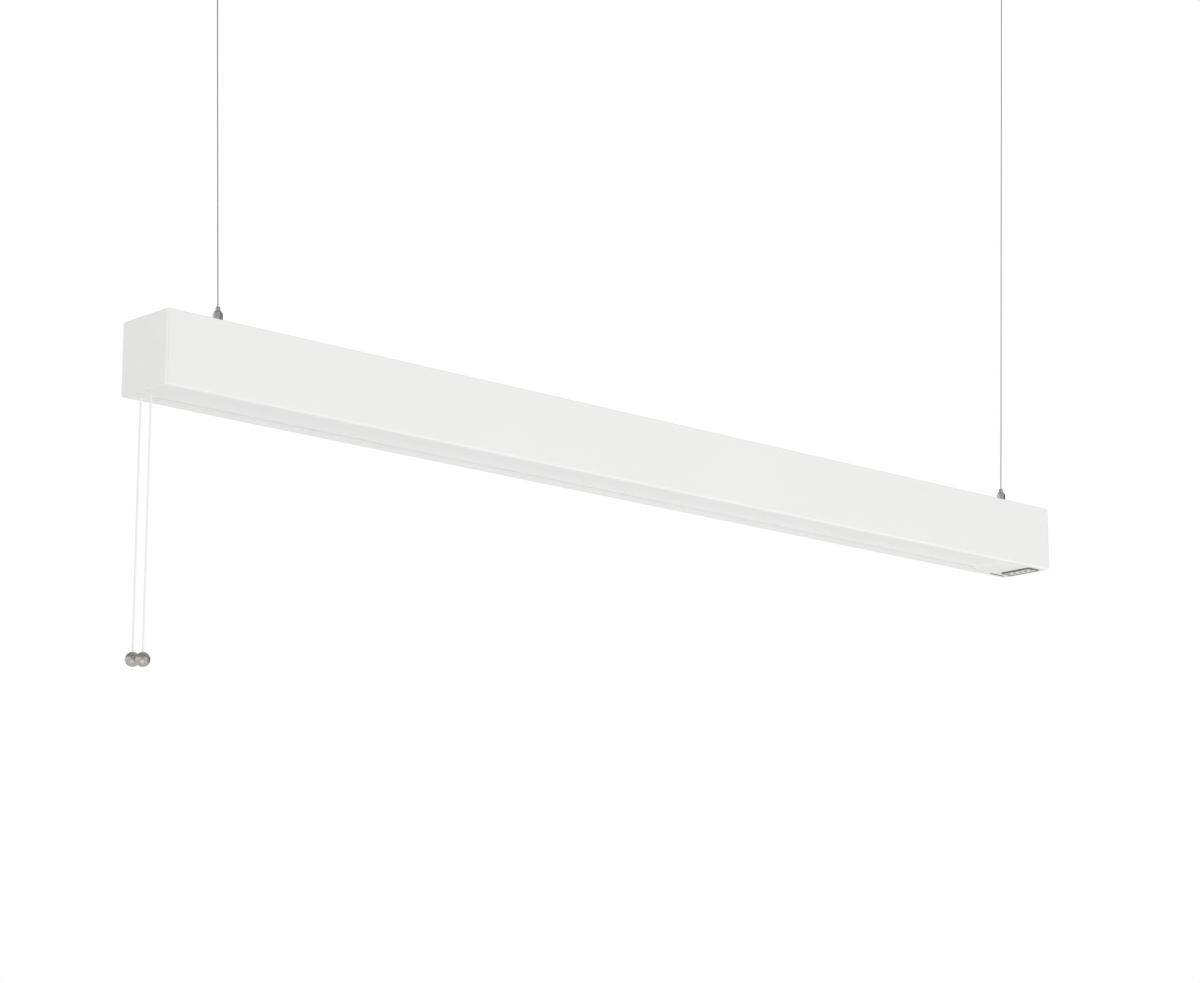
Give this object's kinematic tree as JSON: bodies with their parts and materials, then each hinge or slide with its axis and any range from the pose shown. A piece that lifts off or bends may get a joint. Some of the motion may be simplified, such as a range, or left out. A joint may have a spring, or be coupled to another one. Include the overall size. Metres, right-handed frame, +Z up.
{
  "type": "linear pendant light",
  "caption": "Straight white pendant light bar hung on thin wires from ceiling cups, with an opal diffuser below, pull cords ending in metal balls, and a plug-in power inlet.",
  "frame": {"origin": "on the ceiling, midway between the two ceiling screws", "axes": "+Z up, +X along the light towards the end with the power inlet, +Y across it"},
  "size_m": [1.2, 0.067, 0.954],
  "materials": {
    "housing_white": "white powder coat, satin",
    "cap_white": "satin",
    "cover_white": "satin",
    "opal": "frosted",
    "galvanised": "galvanised",
    "board_white": "satin",
    "chip_yellow": "gloss",
    "rivet_aluminium": "satin",
    "driver_white": "matte",
    "zinc": "zinc plated",
    "terminal_grey": "matte",
    "lead_grey": "matte",
    "inlet_dark": "matte",
    "inlet_light": "matte",
    "contact_brass": "satin",
    "switch_white": "gloss",
    "slider_plastic": "matte",
    "spring_steel": "bright",
    "cord_white": "braided",
    "ball_nickel": "satin nickel",
    "gripper_nickel": "nickel plated",
    "wire_steel": "stranded",
    "cup_nickel": "satin nickel"
  },
  "bodies": {
    "ceiling": {"ceiling_base_left": "cup_nickel", "ceiling_base_right": "cup_nickel", "ceiling_cup_left": "cup_nickel", "ceiling_cup_right": "cup_nickel"},
    "luminaire": {"housing_profile": "housing_white", "end_cap_left": "cap_white", "end_cap_right": "cap_white", "switch_cover": "cover_white", "inlet_cover": "cover_white", "cord_bushes": "cover_white", "diffuser": "opal", "gear_tray": "galvanised", "led_board_1": "board_white", "led_board_2": "board_white", "led_board_3": "board_white", "led_board_4": "board_white", "led_chips": "chip_yellow", "board_rivets": "rivet_aluminium", "led_driver_1": "driver_white", "led_driver_2": "driver_white", "driver_screws": "zinc", "gripper_stud_left": "zinc", "gripper_stud_right": "zinc", "gripper_nut_left": "zinc", "gripper_nut_right": "zinc", "terminal_block": "terminal_grey", "lead_clips": "terminal_grey", "switch_lead_1": "lead_grey", "switch_lead_2": "lead_grey", "driver_lead_1": "lead_grey", "driver_lead_2": "lead_grey", "mains_lead": "lead_grey", "inlet_frame": "inlet_dark", "inlet_body": "inlet_light", "inlet_contacts": "contact_brass", "gripper_collet_left": "contact_brass", "gripper_collet_right": "contact_brass", "switch_body_1": "switch_white", "switch_body_2": "switch_white", "switch_spring_1": "spring_steel", "switch_spring_2": "spring_steel", "gripper_spring_left": "spring_steel", "gripper_spring_right": "spring_steel", "gripper_body_left": "gripper_nickel", "gripper_body_right": "gripper_nickel", "suspension_wire_left": "wire_steel", "suspension_wire_right": "wire_steel", "wire_tail_left": "wire_steel", "wire_tail_right": "wire_steel", "wire_ball_left": "wire_steel", "wire_ball_right": "wire_steel"},
    "pull_1": {"switch_plunger_1": "slider_plastic", "pull_cord_1": "cord_white", "pull_ball_1": "ball_nickel"},
    "pull_2": {"switch_plunger_2": "slider_plastic", "pull_cord_2": "cord_white", "pull_ball_2": "ball_nickel"},
    "release_tip_left": {"gripper_tip_left": "gripper_nickel"},
    "release_tip_right": {"gripper_tip_right": "gripper_nickel"}
  },
  "joints": [
    {"name": "luminaire_swing", "type": "hinge", "parent": "ceiling", "child": "luminaire", "pos_m": [0, 0, -0.0195], "axis": [1, 0, 0], "range_deg": [-20, 20]},
    {"name": "cord_pull_1", "type": "slide", "parent": "luminaire", "child": "pull_1", "axis": [0, 0, -1], "range_m": [0, 0.008], "stiffness_N_per_m": 500, "springref_m": -0.006, "deforming": ["switch_spring_1"]},
    {"name": "cord_pull_2", "type": "slide", "parent": "luminaire", "child": "pull_2", "axis": [0, 0, -1], "range_m": [0, 0.008], "stiffness_N_per_m": 500, "springref_m": -0.006, "deforming": ["switch_spring_2"]},
    {"name": "tip_press_left", "type": "slide", "parent": "luminaire", "child": "release_tip_left", "axis": [0, 0, -1], "range_m": [0, 0.002], "stiffness_N_per_m": 1500, "springref_m": -0.002, "deforming": ["gripper_spring_left"]},
    {"name": "tip_press_right", "type": "slide", "parent": "luminaire", "child": "release_tip_right", "axis": [0, 0, -1], "range_m": [0, 0.002], "stiffness_N_per_m": 1500, "springref_m": -0.002, "deforming": ["gripper_spring_right"]}
  ]
}
